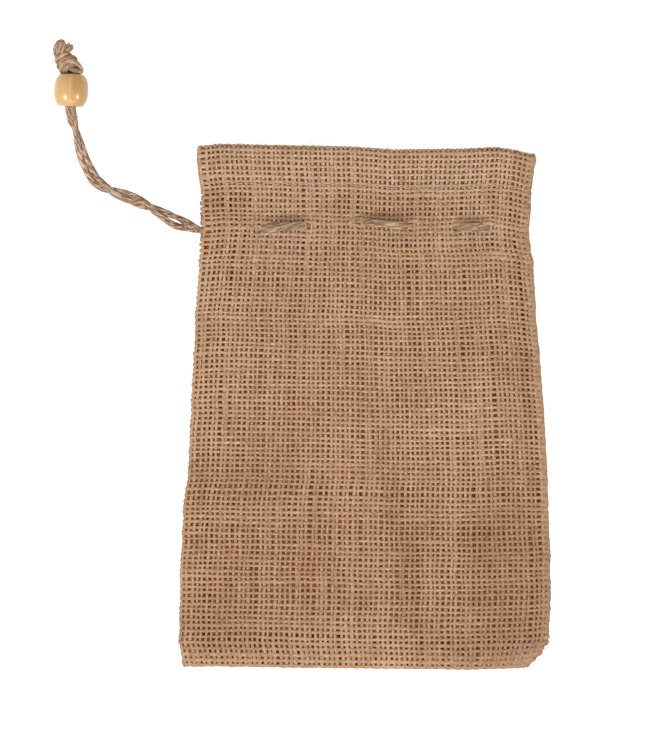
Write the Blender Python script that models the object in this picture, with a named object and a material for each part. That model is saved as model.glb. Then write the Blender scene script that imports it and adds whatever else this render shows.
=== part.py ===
"""A burlap drawstring sack lying on its back, empty, with its mouth towards +Y.

+Z is up, and z = 0 is the surface it lies on. The cloth is one closed shell: outside up the
sack, round the hem at the mouth, and back down the inside. Sizes are in metres.
"""

from math import cos, hypot, pi, radians, sin

import bmesh
import bpy
import numpy as np

MM = 0.001
GAP = 0.3 * MM

# Cloth
CLOTH = 1.2 * MM
HEM_DEPTH = 17.0 * MM
RISE = 22.0 * MM  # how far from a sewn edge the front panel reaches its full height
RISE_POWER = 2.2
COLUMNS = 24
FOLD_STEPS = 4  # facets round each side's rounding
RIM_STEPS = 4  # facets round the folded edge of the mouth
# Rings of points up the sack: coarse up the body, close where the drawstring runs, and in the
# hem, whose inner layer starts between the second and the third.
BODY_LOW, BODY_HIGH, BODY_ROWS = -106.5, 56.0, 13
NECK_LOW, NECK_HIGH, NECK_ROWS = 60.0, 84.0, 9
HEM_ROWS = (88.0, 91.4, 92.2, 97.0, 102.5)

# The outermost left and right of the sack lying flat.
OUTLINE_COLUMNS = ("y", "left", "right")
OUTLINE = (
    (-108.5, -75.0, 69.5),
    (-106.5, -77.0, 71.6),
    (-102.5, -77.9, 74.8),
    (-98.0, -78.3, 77.4),
    (-81.5, -77.9, 78.3),
    (-64.5, -77.5, 78.3),
    (-48.0, -76.7, 77.6),
    (-31.0, -74.8, 77.0),
    (-6.0, -73.4, 75.8),
    (19.5, -72.1, 73.8),
    (36.0, -71.3, 72.4),
    (53.0, -70.2, 71.4),
    (62.0, -69.4, 70.6),
    (70.0, -69.0, 69.3),
    (75.0, -69.0, 69.2),
    (82.0, -69.0, 69.9),
    (91.0, -68.9, 70.1),
    (97.0, -69.9, 71.2),
    (103.5, -70.8, 72.0),
    (107.5, -71.2, 71.6),
)

# The sewn bottom edge and the folded edge of the mouth, from the left side to the right.
END_COLUMNS = ("across", "bottom", "mouth")
ENDS = (
    (0.00, -108.2, 108.2),
    (0.05, -108.6, 110.0),
    (0.20, -109.2, 109.6),
    (0.45, -109.8, 109.0),
    (0.58, -110.0, 107.7),
    (0.78, -110.4, 108.0),
    (0.90, -109.8, 108.7),
    (0.96, -109.3, 107.6),
    (1.00, -108.4, 106.2),
)

# Heights at the middle of the cloth: the rounding of each side, and the front panel between.
HEIGHT_COLUMNS = ("y", "left_fold", "right_fold", "front")
HEIGHTS = (
    (-110.0, 2.6, 2.6, 7.4),
    (-60.0, 3.0, 3.0, 7.5),
    (40.0, 3.4, 3.2, 7.6),
    (60.0, 4.6, 4.0, 7.9),
    (68.0, 6.9, 5.2, 8.2),
    (80.0, 6.9, 5.2, 8.4),
    (91.0, 5.6, 4.8, 8.7),
    (109.0, 5.2, 4.8, 8.9),
)
BOTTOM_FOLD = 2.6 * MM

# Soft ridges and troughs across the front.
CREASE_COLUMNS = ("x0", "y0", "x1", "y1", "width", "height")
CREASES = (
    (4.5, 4.0, 4.0, -48.0, 4.5, -0.6),
    (-12.5, 7.0, -12.0, -27.0, 8.0, 0.5),
    (-46.0, 62.0, -40.0, 30.0, 7.0, 0.4),
    (20.0, 64.0, 24.0, 38.0, 7.0, -0.4),
    (52.0, -84.0, 70.0, -102.0, 6.0, 0.5),
)

# Drawstring: where it runs on the outside, on the front from left to right, and on the back
# from right to left.
TWINE = 2.4 * MM
PASS = 3.0 * MM  # half the length in which it passes through the cloth
PUCKER = 0.8 * MM
PUCKER_REACH = 13.0 * MM
STITCH_COLUMNS = ("x0", "y0", "x1", "y1")
FRONT_STITCHES = (
    (-44.7, 74.3, -23.3, 76.0),
    (-1.9, 77.3, 20.0, 75.2),
    (38.0, 75.2, 51.5, 75.0),
)
BACK_STITCHES = (
    (47.0, 69.4, 29.0, 68.6),
    (8.0, 68.4, -13.0, 68.2),
    (-31.0, 68.6, -51.0, 70.4),
)
# The turn inside the right fold, from the front line to the back line.
TURN_COLUMNS = ("x", "y", "z")
TURN = (
    (61.5, 75.2, 4.6),
    (65.6, 72.4, 3.3),
    (61.5, 69.7, 2.8),
)
SEAM_ENTRY_COLUMNS = ("x", "y", "front_z", "back_z")
SEAM_ENTRY = (-65.0, 73.2, 5.4, 2.7)

# The two free ends, from the left seam to the knot: the middle of the pair, how far its lower
# end lies above the surface, and the angle by which the front end has turned about the other,
# where 90 lies on top.
TAIL_COLUMNS = ("x", "y", "lift", "twist")
TAIL = (
    (-69.5, 73.9, 1.5, 90),
    (-74.0, 75.5, 0.7, 125),
    (-79.2, 77.5, 0.1, 180),
    (-84.2, 80.2, 0.1, 230),
    (-90.1, 83.5, 0.1, 270),
    (-98.5, 87.5, 0.1, 360),
    (-106.9, 90.6, 0.1, 450),
    (-112.0, 93.9, 0.1, 510),
    (-114.9, 97.7, 0.1, 540),
    (-118.2, 104.6, 0.5, 575),
    (-121.3, 116.0, 2.0, 630),
    (-122.7, 121.2, 4.0, 680),
    (-123.3, 125.6, 5.6, 720),
    (-123.0, 132.5, 5.85, 720),
    (-122.7, 139.5, 5.85, 720),
)
CORD_STEP = 2.6  # points of the twine's route, in diameters
CUT_PAST_SEAM = 2  # points of each free end that its cutter follows out of the left seam

# Bead
BEAD_WIDTH = 14.1 * MM
BEAD_LENGTH = 13.7 * MM
BEAD_END = 9.6 * MM  # across its flat ends
BEAD_BORE = 5.9 * MM
BEAD_AT = (-123.0, 132.5)
BEAD_TURN = -2.5  # degrees from +Y, seen from above
BEAD_SIDES = 24
BEAD_RINGS = 10
BEAD_SQUARENESS = 3.2  # 2 is a barrel, and more holds the width nearer to the ends
BEAD_SHOULDER = 0.6
BEAD_EDGE = 40.0  # degrees between faces from which an edge is sharp

# Knot: rounded lumps of twine, each a short bent bar between two points.
KNOT_VOXEL = 0.95 * MM
LUMP_COLUMNS = ("x0", "y0", "z0", "x1", "y1", "z1", "thickness")
KNOT_LUMPS = (
    (-127.0, 142.3, 5.0, -119.2, 142.1, 5.2, 5.2),
    (-126.6, 142.9, 7.2, -119.9, 143.9, 6.8, 4.6),
    (-125.8, 143.3, 3.6, -120.4, 143.1, 3.2, 5.2),
    (-127.8, 144.7, 5.2, -124.0, 146.7, 5.2, 4.0),
    (-128.4, 148.1, 4.6, -126.9, 151.7, 4.2, 5.0),
    (-125.2, 147.9, 4.2, -124.4, 151.1, 3.6, 5.2),
    (-125.6, 150.5, 2.6, -122.4, 150.9, 2.8, 3.6),
    (-127.6, 151.3, 3.4, -126.8, 152.7, 3.4, 3.6),
)

# Colours as seen in daylight, linear
JUTE_CLOTH = (0.40, 0.24, 0.14)
JUTE_TWINE = (0.38, 0.25, 0.16)
VARNISHED_WOOD = (0.66, 0.39, 0.17)


def table(columns, rows):
    """Each column of a table as an array, by name; lengths in millimetres become metres."""
    units = {"across": 1, "twist": 1}
    return {
        name: np.array(values, float) * units.get(name, MM)
        for name, values in zip(columns, zip(*rows))
    }


outline = table(OUTLINE_COLUMNS, OUTLINE)
ends = table(END_COLUMNS, ENDS)
heights = table(HEIGHT_COLUMNS, HEIGHTS)
creases = table(CREASE_COLUMNS, CREASES)
front_stitches = table(STITCH_COLUMNS, FRONT_STITCHES)
back_stitches = table(STITCH_COLUMNS, BACK_STITCHES)


def clear_scene():
    for obj in list(bpy.data.objects):
        bpy.data.objects.remove(obj, do_unlink=True)


def material(name, colour, roughness):
    made = bpy.data.materials.new(name)
    made.use_nodes = True
    shader = made.node_tree.nodes["Principled BSDF"]
    shader.inputs["Base Color"].default_value = (*colour, 1)
    shader.inputs["Roughness"].default_value = roughness
    shader.inputs["Metallic"].default_value = 0
    return made


def add(name, data, finish):
    obj = bpy.data.objects.new(name, data)
    data.materials.append(finish)
    bpy.context.scene.collection.objects.link(obj)
    return obj


def mesh_of(name, bm):
    bmesh.ops.recalc_face_normals(bm, faces=bm.faces)
    mesh = bpy.data.meshes.new(name)
    bm.to_mesh(mesh)
    bm.free()
    return mesh


# The lying cloth ---------------------------------------------------------------------------


def side(name, y):
    return np.interp(y, outline["y"], outline[name])


def height(name, y):
    return np.interp(y, heights["y"], heights[name])


def rise(distance):
    """0 at a sewn edge, 1 where the panel lies at its full height."""
    share = np.clip(distance / RISE, 0, 1)
    return 1 - (1 - share) ** RISE_POWER


def ease(share):
    share = np.clip(share, 0, 1)
    return share * share * (3 - 2 * share)


def outside(stitches, x):
    """1 where the twine lies on the outside of the cloth at x, -1 where it runs inside."""
    shown = 0.0
    for x0, x1 in zip(stitches["x0"], stitches["x1"]):
        low, high = min(x0, x1), max(x0, x1)
        half = (high - low) / 2
        shown += ease((half - abs(x - low - half)) / (2 * PASS) + 0.5)
    return 2 * shown - 1


def line_of(stitches, x):
    """The y of the drawstring at x."""
    along = np.ravel(np.column_stack((stitches["x0"], stitches["x1"])))
    level = np.ravel(np.column_stack((stitches["y0"], stitches["y1"])))
    order = np.argsort(along)
    return np.interp(x, along[order], level[order])


def near_line(stitches, x, y):
    share = 1 - abs(y - line_of(stitches, x)) / PUCKER_REACH
    return ease(share)


def crease_height(x, y):
    total = 0.0
    for row in range(len(CREASES)):
        x0, y0, x1, y1, width, high = (creases[name][row] for name in CREASE_COLUMNS)
        share = ((x - x0) * (x1 - x0) + (y - y0) * (y1 - y0)) / hypot(x1 - x0, y1 - y0) ** 2
        share = np.clip(share, 0, 1)
        away = hypot(x - x0 - share * (x1 - x0), y - y0 - share * (y1 - y0))
        total += high * np.exp(-((away / width) ** 2))
    return total


def front_height(x, y):
    """Height of the middle of the front cloth."""
    full = height("front", y)
    left = CLOTH / 2 + height("left_fold", y)
    right = CLOTH / 2 + height("right_fold", y)
    from_left = rise(x - side("left", y) - height("left_fold", y) / 2)
    from_right = rise(side("right", y) - height("right_fold", y) / 2 - x)
    level = full - (full - left) * (1 - from_left) - (full - right) * (1 - from_right)
    seam = CLOTH / 2 + BOTTOM_FOLD
    level = seam + (level - seam) * rise(y - ends["bottom"].mean())
    puckers = -PUCKER * outside(front_stitches, x) * near_line(front_stitches, x, y)
    return level + (puckers + crease_height(x, y)) * from_left * from_right


def back_height(x, y):
    """Height of the middle of the back cloth, which lies flat but for the twine under it."""
    under = ease((outside(back_stitches, x) + 1) / 2)
    return CLOTH / 2 + (TWINE + 2 * GAP) * under * near_line(back_stitches, x, y)


def row_levels():
    """The rows up the sack, as shares of the way from its bottom to its mouth."""
    low, high = ends["bottom"].min(), ends["mouth"].max()
    body = np.linspace(BODY_LOW, BODY_HIGH, BODY_ROWS)
    neck = np.linspace(NECK_LOW, NECK_HIGH, NECK_ROWS)
    return [(y * MM - low) / (high - low) for y in (*body, *neck, *HEM_ROWS)]


def stations():
    """Each ring of the shell: its share of the height, its shift along y, its offset from the
    middle of the cloth, and how far the panels are apart there, from 0 at the bottom seam."""
    closed = np.linspace(0, pi / 2, FOLD_STEPS)
    faces = []
    for offset in (CLOTH / 2, -CLOTH / 2):
        radius = BOTTOM_FOLD / 2 + offset
        seam = [
            (0.0, BOTTOM_FOLD / 2 + CLOTH / 2 - radius * cos(angle), offset, sin(angle))
            for angle in closed
        ]
        faces.append(seam + [(share, 0.0, offset, 1.0) for share in row_levels()])
    outer, inner = faces
    rim = [
        (1.0, CLOTH * (sin(angle) - 1), CLOTH * cos(angle) - CLOTH / 2, 1.0)
        for angle in np.linspace(0, pi, RIM_STEPS + 1)
    ]
    return outer + rim + inner[::-1]


def ring(share, shift, offset, opened):
    """One ring of points round the tube of cloth."""
    across = np.linspace(0, 1, COLUMNS + 1)
    bottom = np.interp(across, ends["across"], ends["bottom"])
    mouth = np.interp(across, ends["across"], ends["mouth"])
    y = bottom + (mouth - bottom) * share + shift
    if share < 1 and offset < 0 and y.mean() > mouth.mean() - HEM_DEPTH:
        offset -= CLOTH
    middle = CLOTH / 2 + BOTTOM_FOLD / 2

    def place(x, level, z):
        return (x, level, middle + (z - middle) * opened)

    left_y, right_y = y[0], y[-1]
    left_fold, right_fold = height("left_fold", left_y) / 2, height("right_fold", right_y) / 2
    left = side("left", left_y) + CLOTH / 2 + left_fold
    right = side("right", right_y) - CLOTH / 2 - right_fold
    x = left + (right - left) * across
    front = [place(a, b, front_height(a, b) + offset) for a, b in zip(x, y)]
    back = [place(a, b, back_height(a, b) - offset) for a, b in zip(x, y)]
    turns = [pi * step / FOLD_STEPS for step in range(1, FOLD_STEPS)]
    right_turn = [
        place(
            right + (right_fold + offset) * sin(turn),
            right_y,
            CLOTH / 2 + right_fold + (right_fold + offset) * cos(turn),
        )
        for turn in turns
    ]
    left_turn = [
        place(
            left - (left_fold + offset) * sin(turn),
            left_y,
            CLOTH / 2 + left_fold - (left_fold + offset) * cos(turn),
        )
        for turn in turns
    ]
    return front + right_turn + back[::-1] + left_turn


def sack_mesh():
    bm = bmesh.new()
    rings = [[bm.verts.new(p) for p in ring(*station)] for station in stations()]
    for lower, upper in zip(rings, rings[1:]):
        count = len(lower)
        for i in range(count):
            j = (i + 1) % count
            bm.faces.new((lower[i], lower[j], upper[j], upper[i]))
    bmesh.ops.remove_doubles(bm, verts=bm.verts, dist=0.001 * MM)
    bmesh.ops.triangulate(bm, faces=bm.faces)
    return mesh_of("sack", bm)


# The drawstring ----------------------------------------------------------------------------


def smooth(points, step):
    """Points along a smooth curve through these, a step or less apart."""
    points = np.asarray(points, float)
    padded = np.vstack((2 * points[0] - points[1], points, 2 * points[-1] - points[-2]))
    found = [points[0]]
    for before, start, end, after in zip(padded, padded[1:], padded[2:], padded[3:]):
        count = max(1, round(float(np.linalg.norm((end - start)[:3])) / step))
        for i in range(1, count + 1):
            t = i / count
            found.append(
                0.5 * (
                    2 * start
                    + (end - before) * t
                    + (2 * before - 5 * start + 4 * end - after) * t**2
                    + (3 * start - before - 3 * end + after) * t**3
                )
            )
    return np.array(found)


def stitch_line(stitches, cloth, up):
    """The twine's route along one panel, over the cloth where it shows and under it between."""
    lift = up * (CLOTH / 2 + GAP + TWINE / 2)
    points = []
    for row in range(len(stitches["x0"])):
        x0, x1 = stitches["x0"][row], stitches["x1"][row]
        ahead = PASS if x1 > x0 else -PASS
        stops = (
            (x0 - ahead, -1),
            (x0 + ahead, 1),
            ((x0 + x1) / 2, 1),
            (x1 - ahead, 1),
            (x1 + ahead, -1),
        )
        for x, out in stops:
            y = line_of(stitches, x)
            points.append((x, y, cloth(x, y) + lift * out))
    return points


def circuit():
    """The route round the sack, in at the left seam and out at it again."""
    turn = table(TURN_COLUMNS, TURN)
    x, y, front_z, back_z = (value * MM for value in SEAM_ENTRY)
    front = stitch_line(front_stitches, front_height, 1)
    back = stitch_line(back_stitches, back_height, -1)
    around = list(zip(turn["x"], turn["y"], turn["z"]))
    return [(x, y, front_z), *front, *around, *back, (x, y, back_z)]


def tail_ends():
    """Both free ends from the seam to the knot, turned about each other."""
    tail = table(TAIL_COLUMNS, TAIL)
    middle = smooth(np.column_stack([tail[name] for name in TAIL_COLUMNS]), CORD_STEP * TWINE)
    apart = (TWINE + GAP) / 2
    front, back = [], []
    for i, (x, y, lift, twist) in enumerate(middle):
        z = max(lift, 0) + TWINE / 2 + apart * abs(sin(radians(twist)))
        ahead = middle[min(i + 1, len(middle) - 1)] - middle[max(i - 1, 0)]
        aside = np.array((-ahead[1], ahead[0], 0)) / hypot(ahead[0], ahead[1])
        turned = apart * (aside * cos(radians(twist)) + np.array((0, 0, sin(radians(twist)))))
        front.append(np.array((x, y, z)) + turned)
        back.append(np.array((x, y, z)) - turned)
    return front, back


def tube(name, route, radius, finish):
    data = bpy.data.curves.new(name, "CURVE")
    data.dimensions = "3D"
    data.bevel_depth = radius
    data.bevel_resolution = 2
    data.use_fill_caps = True
    spline = data.splines.new("POLY")
    spline.points.add(len(route) - 1)
    for point, place in zip(spline.points, route):
        point.co = (*place, 1)
    return add(name, data, finish)


def cut_where_twine_passes(cloth, name, route, finish):
    """Opens the cloth round the twine, with a gap all round it."""
    guide = tube(name + "_guide", route, TWINE / 2 + GAP, finish)
    bpy.context.view_layer.update()
    mesh = bpy.data.meshes.new_from_object(
        guide.evaluated_get(bpy.context.evaluated_depsgraph_get())
    )
    bpy.data.objects.remove(guide, do_unlink=True)
    cutter = add(name, mesh, finish)
    bm = bmesh.new()
    bm.from_mesh(mesh)
    bmesh.ops.remove_doubles(bm, verts=bm.verts, dist=0.001 * MM)
    bmesh.ops.recalc_face_normals(bm, faces=bm.faces)
    bm.to_mesh(mesh)
    bm.free()
    cutter.hide_render = True
    cutter.display_type = "WIRE"
    cut = cloth.modifiers.new(name, "BOOLEAN")
    cut.operation = "DIFFERENCE"
    cut.solver = "EXACT"
    cut.object = cutter


# Bead and knot -----------------------------------------------------------------------------


def bead_mesh():
    """A barrel with a straight bore, turned about its own Y axis."""
    half, bore = BEAD_LENGTH / 2, BEAD_BORE / 2
    profile = [(bore, -half), (BEAD_END / 2, -half)]
    for step in range(1, BEAD_RINGS):
        share = -1 + 2 * step / BEAD_RINGS
        swell = (1 - abs(share) ** BEAD_SQUARENESS) ** BEAD_SHOULDER
        profile.append(
            (BEAD_END / 2 + (BEAD_WIDTH - BEAD_END) / 2 * swell, share * half)
        )
    profile += [(BEAD_END / 2, half), (bore, half)]
    bm = bmesh.new()
    turns = []
    for i in range(BEAD_SIDES):
        angle = 2 * pi * i / BEAD_SIDES
        turns.append(
            [bm.verts.new((r * sin(angle), y, r * cos(angle))) for r, y in profile]
        )
    for i, here in enumerate(turns):
        following = turns[(i + 1) % BEAD_SIDES]
        for j in range(len(profile)):
            k = (j + 1) % len(profile)
            bm.faces.new((here[j], here[k], following[k], following[j]))
    mesh = mesh_of("bead", bm)
    mesh.shade_smooth()
    mesh.set_sharp_from_angle(angle=radians(BEAD_EDGE))
    return mesh


def lump(bm, start, end, thickness):
    """A bar with round ends, 12 sided."""
    start, end = np.array(start), np.array(end)
    along = (end - start) / np.linalg.norm(end - start)
    first = np.cross(along, (0, 0, 1))
    first /= np.linalg.norm(first)
    second = np.cross(along, first)
    made = bmesh.ops.create_uvsphere(bm, u_segments=12, v_segments=8, radius=thickness / 2)
    for vert in made["verts"]:
        x, y, z = vert.co
        vert.co = (end if z > 0 else start) + first * x + second * y + along * z


def knot_mesh():
    lumps = table(LUMP_COLUMNS, KNOT_LUMPS)
    bm = bmesh.new()
    for row in range(len(KNOT_LUMPS)):
        x0, y0, z0, x1, y1, z1, thickness = (lumps[name][row] for name in LUMP_COLUMNS)
        lump(bm, (x0, y0, z0), (x1, y1, z1), thickness)
    return mesh_of("knot", bm)


def build():
    clear_scene()
    burlap = material("burlap", JUTE_CLOTH, 0.95)
    twine = material("jute_twine", JUTE_TWINE, 0.9)
    wood = material("varnished_wood", VARNISHED_WOOD, 0.25)

    front_end, back_end = tail_ends()
    way_round = circuit()
    held = smooth([front_end[0], *way_round, back_end[0]], CORD_STEP * TWINE)
    tube("drawstring", [*front_end[:0:-1], *held, *back_end[1:]], TWINE / 2, twine)

    sack = add("sack", sack_mesh(), burlap)
    half = len(held) // 2
    front_way = [*front_end[CUT_PAST_SEAM:0:-1], *held[: half + 1]]
    back_way = [*held[half:], *back_end[1 : CUT_PAST_SEAM + 1]]
    cut_where_twine_passes(sack, "front_twine_way", front_way, twine)
    cut_where_twine_passes(sack, "back_twine_way", back_way, twine)

    bead = add("bead", bead_mesh(), wood)
    bead.location = (BEAD_AT[0] * MM, BEAD_AT[1] * MM, BEAD_WIDTH / 2)
    bead.rotation_euler = (0, 0, radians(BEAD_TURN))

    knot = add("knot", knot_mesh(), twine)
    skin = knot.modifiers.new("one_body", "REMESH")
    skin.mode = "VOXEL"
    skin.voxel_size = KNOT_VOXEL


build()
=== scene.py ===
"""A burlap drawstring sack: woven jute yarns, a twine drawn through them, a bead and a knot."""

from math import cos, hypot, pi, radians, sin, sqrt

import bpy
import numpy as np
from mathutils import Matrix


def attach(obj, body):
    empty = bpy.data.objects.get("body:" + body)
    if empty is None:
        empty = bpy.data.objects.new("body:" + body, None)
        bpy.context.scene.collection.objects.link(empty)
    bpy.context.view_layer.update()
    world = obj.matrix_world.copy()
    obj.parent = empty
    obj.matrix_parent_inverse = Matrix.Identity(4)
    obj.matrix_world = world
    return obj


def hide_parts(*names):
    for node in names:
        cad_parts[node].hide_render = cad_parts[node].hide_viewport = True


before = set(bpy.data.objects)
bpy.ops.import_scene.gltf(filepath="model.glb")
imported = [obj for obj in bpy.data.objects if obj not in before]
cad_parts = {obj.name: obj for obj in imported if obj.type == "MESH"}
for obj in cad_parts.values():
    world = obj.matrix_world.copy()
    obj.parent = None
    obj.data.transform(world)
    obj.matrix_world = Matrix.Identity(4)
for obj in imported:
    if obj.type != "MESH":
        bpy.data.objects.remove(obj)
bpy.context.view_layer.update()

MM = 0.001
rng = np.random.default_rng(19)


def table(names, rows):
    """The columns of these rows by name."""
    return {name: np.array(values, float) for name, values in zip(names.split(), zip(*rows))}


# The cloth as it lies, in millimetres
CLOTH = 1.2
GAP = 0.3
HEM_DEPTH = 17.0
RISE, RISE_POWER = 22.0, 2.2  # how the front panel rises from its edges
BOTTOM_FOLD = 2.6
TWINE = 2.4
PASS = 3.0  # half the way in which the twine goes through the cloth
PUCKER, PUCKER_REACH = 0.8, 13.0  # how far it presses the cloth down, and how wide

outline = table("y left right", (
    (-108.5, -76.4, 69.5), (-106.5, -77.4, 71.6), (-102.5, -77.9, 74.8), (-98, -78.3, 77.4),
    (-81.5, -77.9, 78.3), (-64.5, -77.5, 78.3), (-48, -76.7, 77.6), (-31, -74.8, 77),
    (-6, -73.4, 75.8), (19.5, -72.1, 73.8), (36, -71.3, 72.4), (53, -70.2, 71.4),
    (62, -69.4, 70.6), (70, -69, 69.3), (75, -69, 69.2), (82, -69, 69.9), (91, -68.9, 70.1),
    (97, -69.9, 71.2), (103.5, -70.6, 72), (107.5, -70.6, 71.6),
))
# How far each bottom corner is turned in from where its side would run on to.
corners = table("y left right", (
    (-108.5, 1.2, 8.8), (-106.5, 0.3, 6.7), (-102.5, 0.2, 3.5), (-98, 0, 0.8), (-94, 0, 0),
))
CORNER_SQUEEZE = 14.0  # how far in that the warps lie closer for it

ends = table("across bottom mouth", (
    (0.00, -109.5, 109.4), (0.05, -109.6, 110.1), (0.20, -109.8, 109.6), (0.45, -110.3, 109),
    (0.58, -110.5, 107.7), (0.78, -110.9, 108), (0.90, -110.5, 108.7), (0.96, -110.3, 107.6),
    (1.00, -109.6, 106.2),
))

heights = table("y left_fold right_fold front", (
    (-110, 2.6, 2.6, 7.4), (-60, 3, 3, 7.5), (40, 3.4, 3.2, 7.6), (60, 4.6, 4, 7.9),
    (68, 6.9, 5.2, 8.2), (80, 6.9, 5.2, 8.4), (91, 5.6, 4.8, 8.7), (109, 5.2, 4.8, 8.9),
))

# Short creases, each from x0, y0 to x1, y1, with its width and height.
CREASES = (
    (-12.5, 7, -12, -27, 8, 0.5), (-46, 62, -40, 30, 7, 0.4), (20, 64, 24, 38, 7, -0.4),
    (52, -84, 70, -102, 6, 0.5),
)

# The long crease: a ridge whose left side falls off slowly and whose right side falls quickly.
ridge = table("y x high", (
    (-108, 15, 0.4), (-90, 14, 1.4), (-65, 11, 1.9), (-45, 7, 2), (-30, 4, 2.1), (-10, 1.5, 1.8),
    (6, 0.5, 0.6), (20, 0, 0),
))
RIDGE_LEFT, RIDGE_RIGHT = 24.0, 7.5

front_stitches = table("x0 y0 x1 y1", (
    (-44.7, 74.3, -23.3, 76), (-1.9, 77.3, 20, 75.2), (38, 75.2, 51.5, 75),
))
back_stitches = table("x0 y0 x1 y1", (
    (47, 69.4, 29, 68.6), (8, 68.4, -13, 68.2), (-31, 68.6, -51, 70.4),
))
TURN = ((61.5, 75.2, 4.6), (65.6, 72.4, 3.3), (61.5, 69.7, 2.8))
SEAM_X, SEAM_Y, SEAM_FRONT_Z, SEAM_BACK_Z = -65.0, 73.2, 5.4, 2.7

tail = table("x y lift twist apart", (
    (-69.5, 73.9, 1.5, 90, 1.2), (-74, 75.5, 0.7, 125, 1.25), (-79.2, 77.5, 0.1, 180, 1.75),
    (-84.2, 80.2, 0.1, 220, 1.3), (-90.1, 83.5, 0.1, 270, 1.15), (-98.5, 87.5, 0.1, 360, 1.2),
    (-106.9, 90.6, 0.1, 450, 1.15), (-112, 93.9, 0.1, 510, 1.2), (-114.9, 97.7, 0.1, 540, 1.2),
    (-118.2, 104.6, 0.5, 575, 1.1), (-121.3, 116, 2, 630, 1.05), (-122.7, 121.2, 4, 680, 1),
    (-123.3, 125.6, 5.6, 720, 0.98), (-123, 132.5, 5.85, 720, 0.98),
    (-122.7, 139.5, 5.85, 720, 0.98),
))

BEAD_WIDTH, BEAD_LENGTH, BEAD_END, BEAD_BORE = 14.4, 13.4, 9.8, 5.9
BEAD_AT, BEAD_TURN = (-123.0, 132.3), -2.5
BEAD_SQUARENESS, BEAD_SHOULDER = 2.5, 0.75
BEAD_SIDES, BEAD_RINGS = 96, 44
BORE_EDGE = ((0.0, 1.2), (0.0, 0.6), (0.12, 0.2), (0.5, 0.0))  # out of the bore, in from the end
BEAD_STAIN = (2.2, 1.9, 1.8, 4.6)  # a redder place, from the bead's middle, and its half sizes
PITH = (-9.0, 4.0)  # x and z of the rings' middle, from the bead's

SHADE_TONE, SHADE_DULLS = 0.45, 0.55  # how much a shade moves the yarns' tone and dulls them
# Oval places of painted light and shade, where the cloth is paler or darker than elsewhere: x and y
# of the middle of each, its half width and half height, and by how much.
CLOTH_PAINTED_LIGHT_AND_SHADE = (
    (0, 99, 200, 12, 0.34), (40, 110.5, 44, 4.5, -0.50), (-40, 112, 40, 4.5, -0.35),
    (0, -80, 180, 75, -0.17), (-56, -28, 36, 15, -0.16), (-31, 78.4, 13, 2.8, -0.72),
    (9, 79.2, 14, 3.2, -0.95), (45, 77.8, 9, 2.8, -0.72), (58, -103, 26, 14, -0.25),
    (7.5, -20, 5, 14, -0.22), (11.5, -42, 6, 18, -0.26), (18, -72, 8, 26, -0.20),
    (63, -66, 26, 44, -0.26), (74, 20, 22, 90, -0.12), (-64, -93, 22, 16, -0.22),
    (72, 92, 8, 18, -0.25), (-8, -30, 12, 50, 0.10),
)
# Oval places where the twine's stitches and the knot's tuft are made paler or darker, in the same
# columns.
STITCH_SHADES = (
    (-34, 75.2, 14, 6, -0.25), (9, 76.2, 14, 6, 0.12), (44.8, 75.1, 9, 6, 0.20),
)
TUFT_SHADES = ((-126.5, 150.5, 6.0, 5.0, 0.45),)
HEM_FROM = 91.0  # the hem's lower edge
# Oval places whose yarns get none of the painted inner light: the folded rim of the mouth, and last the
# bottom left corner. x and y of the middle of each, its half width and half height.
RIM = (
    (-58, 111.5, 26, 4), (-25, 111, 40, 4), (12, 109.8, 34, 4), (42, 109.7, 32, 4),
    (66, 108.6, 16, 4), (-77, -107.5, 5, 6),
)

# Twine
TWINE_STEP, TWINE_SIDES = 0.6, 36
TWINE_FULLER = 1.12  # the loose twine than its nominal thickness
BUNDLES, GROOVE, TWINE_TURN = 5, 0.12, 24.0  # of fibre round the twine, their depth, their lay
STITCH_TURN = 90.0  # their lay where the twine is drawn through the cloth
STITCH_WIDER, STITCH_FLATTER = 0.35, 0.35  # how much the twine spreads where it lies on the cloth
SHOWN_LIFT, HIDDEN_LIFT = 0.55, 1.9  # of the twine from the cloth's middle, outside and inside
TWINE_DRIFT = ((0.05, 9), (0.03, 3))  # of its thickness: by how much, over how many samples
CROSS_QUICKLY = 0.28  # how much the two ends hurry over their crossings
BETWEEN_LINES = 2.5  # how far below the front stitches the twine changes to the back
STITCH_INSET = 1.2  # how much sooner than its hole the thick twine sinks between the yarns

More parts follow.
